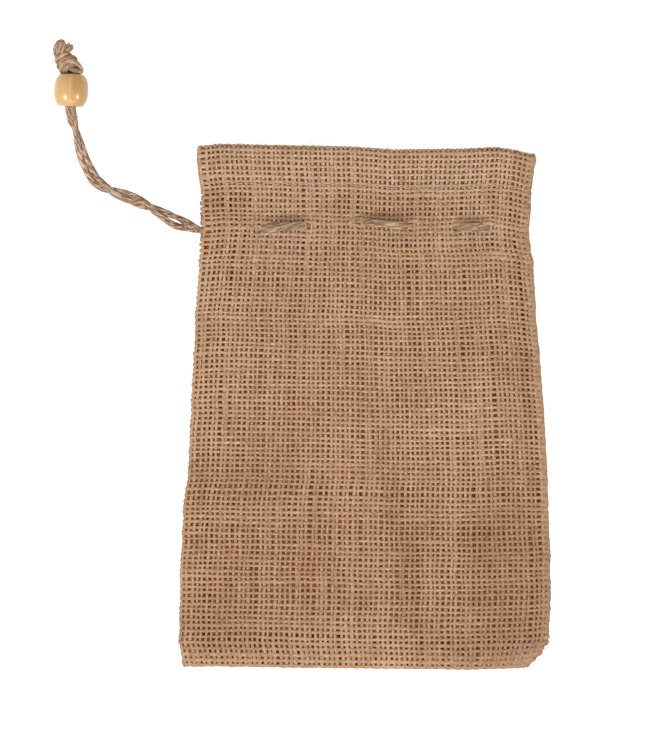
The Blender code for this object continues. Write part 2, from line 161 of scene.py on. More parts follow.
# The overhand knot of both ends: routes of its turns, from the bead to the tuft.
KNOT_STRAND, TUFT_STRAND = 1.15, 0.60  # half thicknesses
TUFT_STRANDS, TUFT_APART = 5, 0.80  # into which each cut end opens, and how far from its middle
TUFT_TWIST, TUFT_PARTS = 2.2, 0.5  # how they wind, and how much further apart their tips are
KNOT_STEP, KNOT_SAMPLES, KNOT_SIDES = 0.4, 64, 24
KNOT_DRIFT = ((0.07, 9),)
KNOT_TURNS = (
    ((-125.9, 140.3, 3), (-126.9, 140.6, 5), (-126.8, 142, 7), (-125.3, 143.9, 8),
     (-122.9, 144.6, 8.2), (-120.5, 143.5, 7.8), (-119.3, 141.9, 6.6), (-119.1, 140.5, 5),
     (-120.3, 140.3, 3.2)),
    ((-124.5, 140.2, 4.2), (-125.2, 140.4, 6.6), (-124.9, 141.8, 8.2), (-123.6, 143, 8.1),
     (-122.3, 143.1, 6.6), (-121.2, 142.4, 5)),
    ((-124.4, 142.2, 5.4), (-123.4, 141.5, 7.4), (-121.8, 140.8, 8.2), (-120.3, 140.4, 7.4),
     (-119.4, 140.4, 5.9), (-119.5, 141, 4.2), (-120.8, 141.6, 2.8), (-123.6, 142, 2.3),
     (-126.2, 142, 3.2), (-127.1, 141.7, 4.6)),
    ((-126, 141.7, 2.6), (-127.7, 142.2, 4.2), (-128, 143, 6), (-127, 144.6, 7.5),
     (-125, 145.9, 7.8), (-122.9, 146.2, 6.9), (-121.7, 145.5, 5.2), (-122.2, 144.5, 3.4),
     (-124.6, 143.6, 2.4)),
    ((-127.2, 144, 2.6), (-128.9, 144.7, 4.6), (-128.7, 145.6, 6.3), (-127, 146.8, 7),
     (-124.9, 147.3, 6.4), (-123.9, 147, 4.8), (-124.8, 146, 2.8)),
    ((-122.7, 139, 5.8), (-123.2, 141.5, 5.3), (-124.6, 144.2, 5), (-126.3, 146.3, 4.8),
     (-127, 148.2, 4.8)),
)
TUFT_ROOT = (-126.0, 146.0, 4.6)  # where the tuft's loose fibres point away from
# The two cut ends of the tuft, which each open into strands.
TUFT_ENDS = (
    ((-127.2, 145.8, 4.6), (-128.9, 147.3, 5), (-129.2, 149.5, 5.2), (-128.2, 151.7, 5.2),
     (-127.1, 152.3, 5.2), (-126.7, 151.2, 5.8), (-127, 149.2, 6.2), (-127, 147.6, 5.6)),
    ((-125.6, 145.8, 4.4), (-125.3, 147.6, 4.9), (-124.7, 149.3, 5), (-124, 150.5, 4.8),
     (-123.5, 151.1, 4.2)),
)

# Loose fibres
FIBRE_HALF, FIBRE_SAMPLES = 0.045, 5
FRONT_FIBRES, BACK_FIBRES, TWINE_FIBRES, TUFT_FIBRES = 4200, 1200, 700, 160
# How short and how long they are, and how little and how much they stand out for their length
CLOTH_FIBRE, TWINE_FIBRE, TUFT_FIBRE = (1.5, 6.5), (1.0, 4.0), (0.8, 2.6)
CLOTH_STAND, TWINE_STAND, TUFT_STAND = (0, 0.22), (0.05, 0.5), (0.2, 0.9)
CLOTH_LIES_LOW = 1.3  # the power by which most of the cloth's fibres stand out little

# Sewing thread of the hem
THREAD_STEP, THREAD_STITCH, THREAD_HALF, THREAD_SAMPLES = 2.6, 2.0, 0.2, 7
THREAD_FROM, THREAD_TO = -66.0, 67.0
HEM_LEFT, HEM_WIDTH = -69.5, 139.5
THREAD_IN = 0.6  # how far from the hem's lower edge it is sewn
THREAD_LOW, THREAD_BOW = 0.15, 0.62  # its height at a stitch's ends, and how much more in its middle

# Weave
WARPS = 70  # across each panel
FOLD_WARPS = 3  # round the right fold
EDGE_WARPS = 1  # round each half of the sewn left edge
PITCH_BOTTOM, PITCH_TOP = 2.34, 2.12  # between wefts
HEM_ROWS = 8
TUCK_OPEN = 0.27  # how far apart the panels' yarns lie at the bottom seam
HEM_SLIP = 0.45  # how far the hem's inside has slipped sideways, in warps
HOLE_RADIUS, HOLE_REACH = 1.7, 5.0  # where the twine passes through
YARN_HALF = 0.30  # half a yarn's thickness
CRIMP = 0.21
ON_TABLE = 0.02  # the lowest that a yarn lies
WARP_WIDTH, WEFT_WIDTH = 1.35, 1.32
WEFT_PROUD = 0.12  # how far the wefts stand out of the warps
FOLD_CLOSER, EDGE_CLOSER = 0.58, 0.10  # how much wider yarns lie at the right fold and left edge
FOLD_FLATTER = 0.8  # how much less the yarns wave at the right fold
SCALLOP = 0.15  # how far wefts stand out at the sewn left edge
RAGGED = 0.4  # and at the right corner
HEM_CLOSER = 0.45  # how much wider wefts lie at the hem's left edge
BOTTOM_CLOSER = 0.30  # and at the bottom
BOTTOM_WEFTS, BOTTOM_WARPS = 14, 10  # half rows from there over which each kind is broader
WIDEST_WARP = 0.9
CORNER_ROWS = (4, 14)  # half rows of the right corner
HEM_STRAIGHTER, RIGHT_STRAIGHTER = 0.8, 0.4  # how much less uneven those edges are than the left
BODY_STEP = 0.07  # how unevenly the wefts follow each other
# Smooth chance in the yarns' places and widths: by how much, over how many samples it changes
WARP_DRIFT, WEFT_DRIFT = ((0.10, 30), (0.05, 6)), ((0.11, 24), (0.05, 5))
EDGE_DRIFT = ((0.22, 5), (0.12, 2))
WARP_SWELLS, WEFT_SWELLS = ((0.055, 26), (0.05, 4)), ((0.055, 22), (0.05, 4))
WARP_OWN, WEFT_OWN = 0.05, 0.055  # how much one yarn is thicker than the next
WARP_HALVES, WEFT_HALVES = (0.45, 0.86), (0.5, 1.05)  # the thinnest and the thickest
WARP_SLUB, WEFT_SLUB, SLUB_REACH, SLUB_FROM = 0.0, 0.20, 16, 0.9
WEFT_SAMPLE, WARP_SAMPLE = 1.03, 1.12  # how far apart the samples of a yarn are
LOOP_REACH, LOOP_FROM, LOOP_OUT = 14, 0.2, 1.3  # where warps loop over the rim's weft, and how far
FRONT_SIDES, BACK_SIDES = 6, 4
SEAM_ALLOWANCE = 8  # half yarns that are turned in at the sewn edges
SEAM_LAYERS = (("upper", 0.24), ("lower", 0.60))  # and their share of the way to the back panel
BACK_WIDER = 1.22  # yarns of four sides look thinner than they are



def in_scene(name, data):
    """A new object of this mesh, camera or light."""
    made = bpy.data.objects.new(name, data)
    bpy.context.scene.collection.objects.link(made)
    return made


def on_root(piece):
    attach(piece, "root")
    return piece


# ---- Camera, straight above the lying sack ----

LENS, SENSOR = 300.0, 36.0
SEEN_HEIGHT = 310.4  # of the surface, in millimetres
SEEN_AT = (-17.0, 15.3, 3.0)


def set_up_camera():
    data = bpy.data.cameras.new("camera")
    data.lens = LENS
    data.sensor_width = SENSOR
    data.clip_start = 0.01
    data.clip_end = 20.0
    camera = in_scene("camera", data)
    x, y, z = SEEN_AT
    camera.location = (x * MM, y * MM, (z + SEEN_HEIGHT * LENS / SENSOR) * MM)
    bpy.context.scene.camera = camera


set_up_camera()


# ---- Shapes of the lying cloth ----


def ease(share):
    share = np.clip(share, 0, 1)
    return share * share * (3 - 2 * share)


def rise(distance):
    share = np.clip(distance / RISE, 0, 1)
    return 1 - (1 - share) ** RISE_POWER


def side(name, y):
    return np.interp(y, outline["y"], outline[name])


def height(name, y):
    return np.interp(y, heights["y"], heights[name])


def outside(stitches, x):
    shown = 0.0
    for x0, x1 in zip(stitches["x0"], stitches["x1"]):
        half = abs(x1 - x0) / 2
        shown = shown + ease((half - abs(x - (x0 + x1) / 2)) / (2 * PASS) + 0.5)
    return 2 * shown - 1


def line_of(stitches, x):
    along = np.ravel(np.column_stack((stitches["x0"], stitches["x1"])))
    level = np.ravel(np.column_stack((stitches["y0"], stitches["y1"])))
    order = np.argsort(along)
    return np.interp(x, along[order], level[order])


def near_line(stitches, x, y):
    return ease(1 - abs(y - line_of(stitches, x)) / PUCKER_REACH)


def crease_height(x, y):
    along = np.asarray(y, float)
    from_ridge = x - np.interp(along, ridge["y"], ridge["x"])
    reach = np.where(from_ridge < 0, RIDGE_LEFT, RIDGE_RIGHT)
    total = np.interp(along, ridge["y"], ridge["high"]) * np.exp(-((from_ridge / reach) ** 2))
    for x0, y0, x1, y1, width, high in CREASES:
        share = ((x - x0) * (x1 - x0) + (y - y0) * (y1 - y0)) / hypot(x1 - x0, y1 - y0) ** 2
        share = np.clip(share, 0, 1)
        away = np.hypot(x - x0 - share * (x1 - x0), y - y0 - share * (y1 - y0))
        total = total + high * np.exp(-((away / width) ** 2))
    return total


def front_height(x, y):
    full = height("front", y)
    left = CLOTH / 2 + height("left_fold", y)
    right = CLOTH / 2 + height("right_fold", y)
    from_left = rise(x - side("left", y) - height("left_fold", y) / 2)
    from_right = rise(side("right", y) - height("right_fold", y) / 2 - x)
    level = full - (full - left) * (1 - from_left) - (full - right) * (1 - from_right)
    seam = CLOTH / 2 + BOTTOM_FOLD
    level = seam + (level - seam) * rise(y - ends["bottom"].mean())
    puckers = -PUCKER * outside(front_stitches, x) * near_line(front_stitches, x, y)
    return level + (puckers + crease_height(x, y)) * from_left * from_right


def back_height(x, y):
    under = ease((outside(back_stitches, x) + 1) / 2)
    return CLOTH / 2 + (TWINE + 2 * GAP) * under * near_line(back_stitches, x, y)


def wander(yarns, samples, reach):
    """Smooth chance along each yarn, one row a yarn, that changes over about reach samples."""
    knots = rng.standard_normal((yarns, int(samples / reach) + 3))
    at = np.arange(samples) / reach
    whole = at.astype(int)
    share = ease(at - whole)
    return knots[:, whole] * (1 - share) + knots[:, whole + 1] * share


def drift(yarns, samples, parts):
    return sum(amount * wander(yarns, samples, reach) for amount, reach in parts)


def row_stations():
    """Every half row of the cloth, from its tuck inside the bottom seam, up the outside, over the
    mouth and down the hem inside: share of the height, shift along y, offset from the outer
    layer's middle, and how far apart the panels are there. Odd ones lie between two wefts."""
    tall = ends["mouth"].mean() - ends["bottom"].mean()
    radius = BOTTOM_FOLD / 2
    first, last = radius + CLOTH / 2, tall - CLOTH
    rows = round((last - first) / ((PITCH_BOTTOM + PITCH_TOP) / 2))
    steps = np.repeat(np.linspace(PITCH_BOTTOM, PITCH_TOP, rows), 2)
    steps *= 1 + BODY_STEP * np.repeat(rng.standard_normal(rows), 2)
    body = first + np.concatenate(([0], np.cumsum(steps))) / steps.sum() * (last - first)
    seam = [(0.0, CLOTH / 2 + radius + 0.7, 0.0, TUCK_OPEN)]
    for turn in (0, pi / 4):
        seam.append((0.0, CLOTH / 2 + radius * (1 - cos(turn)), 0.0, max(sin(turn), TUCK_OPEN)))
    outer = [(y / tall, 0.0, 0.0, 1.0) for y in body]
    rim = [(1.0, -CLOTH / 2, -CLOTH / 2, 1.0)]
    depths = np.linspace(CLOTH, HEM_DEPTH, 2 * HEM_ROWS + 1)
    inner = [(1 - depth / tall, 0.0, -CLOTH, 1.0) for depth in depths]
    return seam + outer + rim + inner, len(seam) + len(outer)


def between(values):
    """Smooth chance at the yarns' own places only, and its mean in the gaps between them."""
    values[:, 0], values[:, -1] = values[:, 1], values[:, -2]
    values[:, 2:-1:2] = (values[:, 1:-2:2] + values[:, 3::2]) / 2
    return values


def cloth_grid():
    """The middle of the cloth at every half row and every half warp round the sack."""
    stations, rim = row_stations()
    count = len(stations)
    turns = EDGE_WARPS + WARPS + FOLD_WARPS + WARPS + EDGE_WARPS
    columns = 2 * turns + 1
    warp_lines = between(drift(columns, count, WARP_DRIFT).T)
    weft_lines = between(drift(count, columns, WEFT_DRIFT).T).T
    places = np.arange(columns) / 2
    middle = CLOTH / 2 + BOTTOM_FOLD / 2
    front_stop = EDGE_WARPS + WARPS
    back_start = front_stop + FOLD_WARPS
    left_uneven, right_uneven = drift(2, count, EDGE_DRIFT)
    left_uneven *= 1 - HEM_STRAIGHTER * ease((np.arange(count) - rim + 2 * HEM_ROWS + 4) / 6)
    grid = np.zeros((count, columns, 3))
    for i, (share, shift, offset, opened) in enumerate(stations):
        on_back = ease((places - front_stop - 1) / 2) * ease((turns - EDGE_WARPS - places) / 5)
        at = places + warp_lines[i] + HEM_SLIP * ease((i - rim) / 6) + 0.5 * on_back
        at[0], at[-1] = 0, turns
        at = np.clip(at, 0, turns)
        first, last = places < EDGE_WARPS, places > turns - EDGE_WARPS
        front = (places >= EDGE_WARPS) & (places <= front_stop)
        fold = (places > front_stop) & (places < back_start)
        u = np.where(front, at - EDGE_WARPS, WARPS + back_start - at) / WARPS
        u = np.where(fold, 1.0, u)
        u = np.clip(np.where(first, 0.0, u), 0, 1)
        bottom = np.interp(u, ends["across"], ends["bottom"])
        mouth = np.interp(u, ends["across"], ends["mouth"])
        free = ease((i - 3) / 4) * (1 - np.exp(-abs(i - rim) / 2)) * ease((count - i) / 4)
        off_line = (weft_lines[i] + 0.5 * on_back) * free
        y = bottom + (mouth - bottom) * share + shift + off_line * PITCH_TOP
        left_y, right_y = y[front][0], y[front][-1]
        y = np.where(first | last, left_y, np.where(fold, right_y, y))
        left_fold, right_fold = height("left_fold", y) / 2, height("right_fold", y) / 2
        left = side("left", y) + CLOTH / 2 + left_fold + left_uneven[i]
        right = side("right", y) - CLOTH / 3 - right_fold + (1 - RIGHT_STRAIGHTER) * right_uneven[i]
        left_in = np.interp(y, corners["y"], corners["left"])
        right_in = np.interp(y, corners["y"], corners["right"])
        x = left - left_in + (right + right_in - left + left_in) * u
        from_left, from_right = x - left + left_in, right + right_in - x
        x = x + left_in * np.exp(-from_left / CORNER_SQUEEZE)
        x = x - right_in * np.exp(-from_right / CORNER_SQUEEZE)
        z = np.where(front, front_height(x, y) + offset, back_height(x, y) - offset)
        turn = pi * (places - front_stop) / FOLD_WARPS
        x = np.where(fold, right + (right_fold + offset) * np.sin(turn), x)
        z = np.where(fold, CLOTH / 2 + right_fold + (right_fold + offset) * np.cos(turn), z)
        turn = pi / 2 * (1 + np.where(first, places, places - turns) / EDGE_WARPS)
        x = np.where(first | last, left - (left_fold + offset) * np.sin(turn), x)
        z = np.where(first | last, CLOTH / 2 + left_fold - (left_fold + offset) * np.cos(turn), z)
        z = middle + (z - middle) * opened
        grid[i] = np.column_stack((x, y, z))
    grid[2 : rim - 3 : 2, 0, 0] -= SCALLOP
    grid[2 : rim - 3 : 2, -1, 0] -= SCALLOP
    ragged = slice(*CORNER_ROWS, 2), slice(2 * front_stop, 2 * back_start + 1), 0
    grid[ragged] += RAGGED * (1 + np.arange(grid[ragged].shape[0]) % 2)[:, None]
    return grid, rim


def spread(grid, columns, holes, radius, reach):
    """Pushes the yarns of these columns apart where the twine passes between them."""
    part = grid[:, columns]
    for hole_x, hole_y in holes:
        away = part[:, :, :2] - (hole_x, hole_y)
        far = np.hypot(away[:, :, 0], away[:, :, 1]) + 0.05
        pushed = np.sqrt(far**2 + radius**2 * np.exp(-((far / reach) ** 2)))
        part[:, :, :2] += away * (pushed / far - 1)[:, :, None]
    grid[:, columns] = part


def stitch_ends(stitches):
    return [*zip(stitches["x0"], stitches["y0"]), *zip(stitches["x1"], stitches["y1"])]


# ---- Making yarns ----


STRIP_END, STRIP_SIDE = 0.012, 0.04  # margins of a yarn's strip in the baked picture
CAP_HALF = (0.004, 0.4)  # half sizes of the ovals in which its two ends lie


def lay_out(mesh, name, along, across):
    layer = mesh.uv_layers.new(name=name)
    layer.data.foreach_set("uv", np.ravel(np.stack((along, across), -1)).astype(np.float32))


def unit(vectors):
    return vectors / np.maximum(np.linalg.norm(vectors, axis=-1, keepdims=True), 1e-9)


def turned_angles(sides):
    return -pi / 2 + 2 * pi * np.arange(sides) / sides


def tubes(name, routes, ups, half_width, half_thick, sides, finish, step, abreast=1):
    """A piece of closed tubes along routes, an array of yarns by samples by x, y and z. ups are
    the directions in which each is half_thick; across them it is half_width. step is how far its
    samples are apart, and abreast how many yarns share a row of the baked picture."""
    yarns, samples, _ = routes.shape
    ahead = unit(np.gradient(routes, axis=1))
    aside = unit(np.cross(ups, ahead))
    ups = np.cross(ahead, aside)
    angles = turned_angles(sides)
    wide = np.broadcast_to(half_width, (yarns, samples, sides)) * np.cos(angles)
    thick = np.broadcast_to(half_thick, (yarns, samples, sides)) * np.sin(angles)
    aside, ups = aside[:, :, None], ups[:, :, None]
    points = routes[:, :, None] + aside * wide[..., None] + ups * thick[..., None]
    points[..., 2] = np.maximum(points[..., 2], ON_TABLE)
    start = np.arange(yarns)[:, None, None] * samples * sides
    ring = np.arange(samples - 1)[None, :, None] * sides
    here, there = np.arange(sides), (np.arange(sides) + 1) % sides
    quads = np.stack((start + ring + here, start + ring + there,
                      start + ring + sides + there, start + ring + sides + here), -1).reshape(-1, 4)
    caps = np.concatenate((start[:, 0] + here[::-1], start[:, 0] + (samples - 1) * sides + here))
    mesh = bpy.data.meshes.new(name)
    mesh.vertices.add(yarns * samples * sides)
    mesh.vertices.foreach_set("co", np.ravel(points * MM).astype(np.float32))
    corners_of = np.concatenate((quads.ravel(), caps.ravel())).astype(np.int32)
    sizes = np.concatenate((np.full(len(quads), 4), np.full(len(caps), sides)))
    mesh.loops.add(len(corners_of))
    mesh.loops.foreach_set("vertex_index", corners_of)
    mesh.polygons.add(len(sizes))
    starts = np.concatenate(([0], np.cumsum(sizes)[:-1]))
    mesh.polygons.foreach_set("loop_start", starts.astype(np.int32))
    mesh.update(calc_edges=True)
    mesh.shade_smooth()

    # Where each face lies along and round its yarn
    along = np.stack((ring, ring, ring + sides, ring + sides), -1) / sides + 0 * start[..., None]
    along = np.broadcast_to(along, (yarns, samples - 1, sides, 4)).reshape(-1)
    around = np.stack((here, here + 1, here + 1, here), -1) / sides
    around = np.broadcast_to(around, (yarns, samples - 1, sides, 4)).reshape(-1)
    which = np.repeat(np.arange(yarns), (samples - 1) * sides * 4)
    turned = np.concatenate((np.tile(angles[::-1], yarns), np.tile(angles, yarns)))
    cap_end = np.repeat((STRIP_END / 2, 1 - STRIP_END / 2), yarns * sides)
    cap_which = np.tile(np.repeat(np.arange(yarns), sides), 2)
    strip, strip_rows = np.concatenate((which, cap_which)), -(-yarns // abreast)
    bake_u = np.concatenate((STRIP_END + (1 - 2 * STRIP_END) * along / (samples - 1),
                             cap_end + CAP_HALF[0] * np.cos(turned)))
    bake_v = np.concatenate((STRIP_SIDE + (1 - 2 * STRIP_SIDE) * around,
                             0.5 + CAP_HALF[1] * np.sin(turned)))
    lay_out(mesh, "OFBake", (strip % abreast + bake_u) / abreast,
            (strip // abreast + bake_v) / strip_rows)
    cap_along = np.repeat((0.0, samples - 1.0), yarns * sides)
    lay_out(mesh, "yarn", np.concatenate((along, cap_along)) * np.broadcast_to(step, yarns)[strip],
            np.concatenate((which + around, cap_which + 0.5)))
    mesh.materials.append(finish)
    return on_root(in_scene(name, mesh))


def smooth(points, step):
    """Points along a smooth curve through these, a step or less apart."""
    points = np.asarray(points, float)
    padded = np.vstack((2 * points[0] - points[1], points, 2 * points[-1] - points[-2]))
    found = [points[:1]]
    for before, start, end, after in zip(padded, padded[1:], padded[2:], padded[3:]):
        count = max(1, round(float(np.linalg.norm((end - start)[:3])) / step))
        t = np.arange(1, count + 1)[:, None] / count
        found.append(0.5 * (2 * start + (end - before) * t
                            + (2 * before - 5 * start + 4 * end - after) * t**2
                            + (3 * start - before - 3 * end + after) * t**3))
    return np.concatenate(found)


def run_lengths(route):
    return np.concatenate(([0], np.cumsum(np.linalg.norm(np.diff(route, axis=0), axis=1))))


def evenly(route, count):
    """The same route as this many points that are equally far apart."""
    runs = run_lengths(route)
    at = np.linspace(0, runs[-1], count)
    return np.column_stack([np.interp(at, runs, route[:, axis]) for axis in range(3)])


def carried(route):
    """A direction square to the route at each point, which starts upward and doesn't turn."""
    up, found = np.array((0.0, 0.0, 1.0)), []
    for ahead in unit(np.gradient(route, axis=0)):
        up = unit(up - ahead * (up @ ahead))
        found.append(up)
    return np.array(found)


def bundled(samples, step, half, sides, lay=TWINE_TURN):
    """How far the outline of a twine of a few loose bundles is from its middle, by sample and
    angle. The bundles wind round it, and swell and shrink."""
    spin = turned_angles(sides) - 2 * pi * step / lay * np.arange(samples)[:, None]
    spin = spin + 0.5 * wander(1, samples, 12).T
    depth = GROOVE * (1 + 0.5 * wander(1, samples, 8).T)
    return half * (1 + 0.35 * GROOVE - depth * (1 - abs(np.sin(BUNDLES / 2 * spin))) ** 1.5)


def tail_ends():
    """Both free ends of the twine from the seam to the knot, turned about each other."""
    middle = smooth(np.column_stack([*tail.values()]), TWINE_STEP)
    twist, apart = np.radians(middle[:, 3]), middle[:, 4]
    twist = twist - CROSS_QUICKLY * np.sin(2 * twist)
    ahead = np.gradient(middle[:, :2], axis=0)
    aside = unit(np.column_stack((-ahead[:, 1], ahead[:, 0], 0 * twist)))
    turned = aside * np.cos(twist)[:, None] + np.outer(np.sin(twist), (0, 0, 1))
    turned = turned * apart[:, None]
    level = np.maximum(middle[:, 2], 0) + TWINE / 2 * TWINE_FULLER + apart * abs(np.sin(twist))
    middle = np.column_stack((middle[:, :2], level))
    return middle + turned, middle - turned


def stitch_line(stitches, cloth, up):
    """The twine's route along one panel, over the cloth where it shows and under it between."""
    points = []
    for x0, x1 in zip(stitches["x0"], stitches["x1"]):
        ahead, inset = (PASS, STITCH_INSET) if x1 > x0 else (-PASS, -STITCH_INSET)
        x0, x1 = x0 + inset, x1 - inset
        middle = (x0 + x1) / 2
        stops = ((x0 - ahead, -1), (x0 + ahead, 1), (middle, 1), (x1 - ahead, 1), (x1 + ahead, -1))
        for x, out in stops:
            y = line_of(stitches, x)
            away = SHOWN_LIFT if out > 0 else HIDDEN_LIFT
            points.append((x, y, cloth(x, y) + up * out * away))
    return points


def way_round(front_start, back_start):
    """The twine's route round the sack, in at the left seam and out at it again, with front_start
    and back_start the free ends' first points."""
    front = stitch_line(front_stitches, front_height, 1)
    back = stitch_line(back_stitches, back_height, -1)
    points = [front_start, (SEAM_X, SEAM_Y, SEAM_FRONT_Z), *front, *TURN, *back,
              (SEAM_X, SEAM_Y, SEAM_BACK_Z), back_start]
    return smooth(points, TWINE_STEP)


def twine(name, route, finish, wide=1.0, thick=1.0, lay=TWINE_TURN):
    """One length of twine along a route; wide and thick say how it is spread at each point."""
    step = run_lengths(route)[-1] / (len(route) - 1)
    outline = bundled(len(route), step, TWINE / 2 * TWINE_FULLER, TWINE_SIDES, lay)
    outline = outline * (1 + drift(1, len(route), TWINE_DRIFT).T)
    return tubes(name, route[None], carried(route)[None], (outline * wide)[None],
                 (outline * thick)[None], TWINE_SIDES, finish, step)


def loose_fibres(name, roots, outs, length, stand, finish, lies_low=1.0):
    """Fibres that leave the yarns at roots, stand a little out of them and curl over. length and
    stand are the least and the most of each."""
    count = len(roots)
    lengths, stand = rng.uniform(*length, count), rng.uniform(*stand, count) ** lies_low
    aside = unit(np.cross(outs, rng.standard_normal((count, 3))))
    bend = np.cross(outs, aside)
    curl = rng.uniform(-0.8, 0.8, (count, 1, 1))
    share = np.linspace(0, 1, FIBRE_SAMPLES)[None, :, None]
    out = stand[:, None, None] * share * (1.6 - share)
    routes = roots[:, None] + lengths[:, None, None] * (
        aside[:, None] * share + bend[:, None] * curl * share**2 + outs[:, None] * out)
    routes[:, :, 2] = np.maximum(routes[:, :, 2], 2 * FIBRE_HALF)
    thin = FIBRE_HALF * (1.15 - 0.5 * share)
    ups = np.broadcast_to(outs[:, None], routes.shape)
    return tubes(name, routes, ups, thin, thin, 3, finish, 1.0, abreast=round(sqrt(count)))


# ---- Finishes ----


class Wire:
    """A value in a material's nodes, on which sums are written as plain Python."""

    def __init__(self, finish, socket):
        self.finish, self.socket = finish, socket

    def maths(self, operation, *values, clamp=False):
        settings = {"operation": operation, "use_clamp": clamp}
        return self.finish.node("ShaderNodeMath", settings, values)

    def __add__(self, other):
        return self.maths("ADD", self, other)

    def __sub__(self, other):
        return self.maths("SUBTRACT", self, other)

    def __rsub__(self, other):
        return self.maths("SUBTRACT", other, self)

    def __mul__(self, other):
        return self.maths("MULTIPLY", self, other)

    def __pow__(self, other):
        return self.maths("POWER", self, other)

    __radd__, __rmul__ = __add__, __mul__

    def clipped(self):
        return self.maths("ADD", self, 0.0, clamp=True)

    def whole(self):
        return self.maths("FLOOR", self)

    def size(self):
        return self.maths("ABSOLUTE", self)


class Finish:
    """A material, and the nodes that vary it."""

    def __init__(self, name, **constant):
        self.material = bpy.data.materials.new(name)
        self.material.use_nodes = True
        self.nodes = self.material.node_tree.nodes
        self.shader = self.nodes["Principled BSDF"]
        for socket, value in constant.items():
            self.shader.inputs[socket.replace("_", " ")].default_value = value

    def set(self, target, value):
        if isinstance(value, Wire):
            self.material.node_tree.links.new(value.socket, target)
        else:
            target.default_value = value

    def node(self, kind, settings=None, values=(), output=0):
        made = self.nodes.new(kind)
        for name, value in (settings or {}).items():
            setattr(made, name, value)
        named = values.items() if isinstance(values, dict) else enumerate(values)
        for socket, value in named:
            self.set(made.inputs[socket], value)
        return Wire(self, made.outputs[output])

    def mix(self, share, first, second):
        settings = {"data_type": "RGBA"}
        return self.node("ShaderNodeMix", settings, {0: share, 6: first, 7: second}, 2)

    def point(self, x, y, z=0.0):
        return self.node("ShaderNodeCombineXYZ", None, (x, y, z))

    def noise(self, at, scale=1.0, detail=2.0, roughness=0.5):
        values = {"Vector": at, "Scale": scale, "Detail": detail, "Roughness": roughness}
        return self.node("ShaderNodeTexNoise", None, values)

    def chance(self, number):
        return self.node("ShaderNodeTexWhiteNoise", {"noise_dimensions": "1D"}, {"W": number})

    def place(self):
        """Where a point is on the object, in millimetres."""
        where = self.node("ShaderNodeTexCoord", output=3)
        return self.node("ShaderNodeVectorMath", {"operation": "SCALE"}, {0: where, 3: 1000.0})

    def parts(self, vector):
        made = self.nodes.new("ShaderNodeSeparateXYZ")
        self.set(made.inputs[0], vector)
        return [Wire(self, output) for output in made.outputs]

    def along_and_across(self):
        """How far along its yarn a point is in millimetres, which yarn it is, and how far round."""
        along, across, _ = self.parts(self.node("ShaderNodeUVMap", {"uv_map": "yarn"}))
        which = across.whole()
        return along, which, across - which

    def bump(self, height_of, strength, distance):
        values = {"Height": height_of, "Strength": strength, "Distance": distance * MM}
        return self.node("ShaderNodeBump", None, values)

    def let_through(self, share, colour, lumps):
        """Light goes on through the yarn and comes out behind it in the fibres' colour."""
        behind = self.node("ShaderNodeBsdfTranslucent", None, {"Color": colour, "Normal": lumps})
        plain = Wire(self, self.shader.outputs[0])
        both = self.node("ShaderNodeMixShader", None, (share, plain, behind))
        self.set(self.nodes["Material Output"].inputs["Surface"], both)

    def put(self, socket, value):
        self.set(self.shader.inputs[socket], value)


def rgba(red, green, blue):
    return (red, green, blue, 1.0)


LIT_THROUGH = (0.66, 0.35, 0.14)  # the colour of jute with light behind it
LIT_SHARE = 0.45
# How far each of these moves a yarn's tone: which yarn it is, slow change along it, and blotches
OWN_TONE, SLOW_TONE, BLOTCH_TONE = 0.13, 0.34, 0.45
# The colour that darker places lean to (painted shade on the cloth), and the painted warm light and
# shade of the hem's inner face as it shows through the holes.
DULL, HEM_PAINTED_INNER_LIGHT = rgba(0.19, 0.135, 0.11), rgba(0.78, 0.375, 0.135)  # of darker places, of the hem's inner face
PAINTED_INNER_FROM = 0.27  # round a yarn from its top, in turns, from which its painted inner light shows


def inside_of(x, y, middle_x, middle_y, wide, tall):
    """How far inside an oval place a point is, from 1 in its middle to 0 at its outline."""
    return 1.0 - ((x - middle_x) * (1.0 / wide)) ** 2.0 - ((y - middle_y) * (1.0 / tall)) ** 2.0


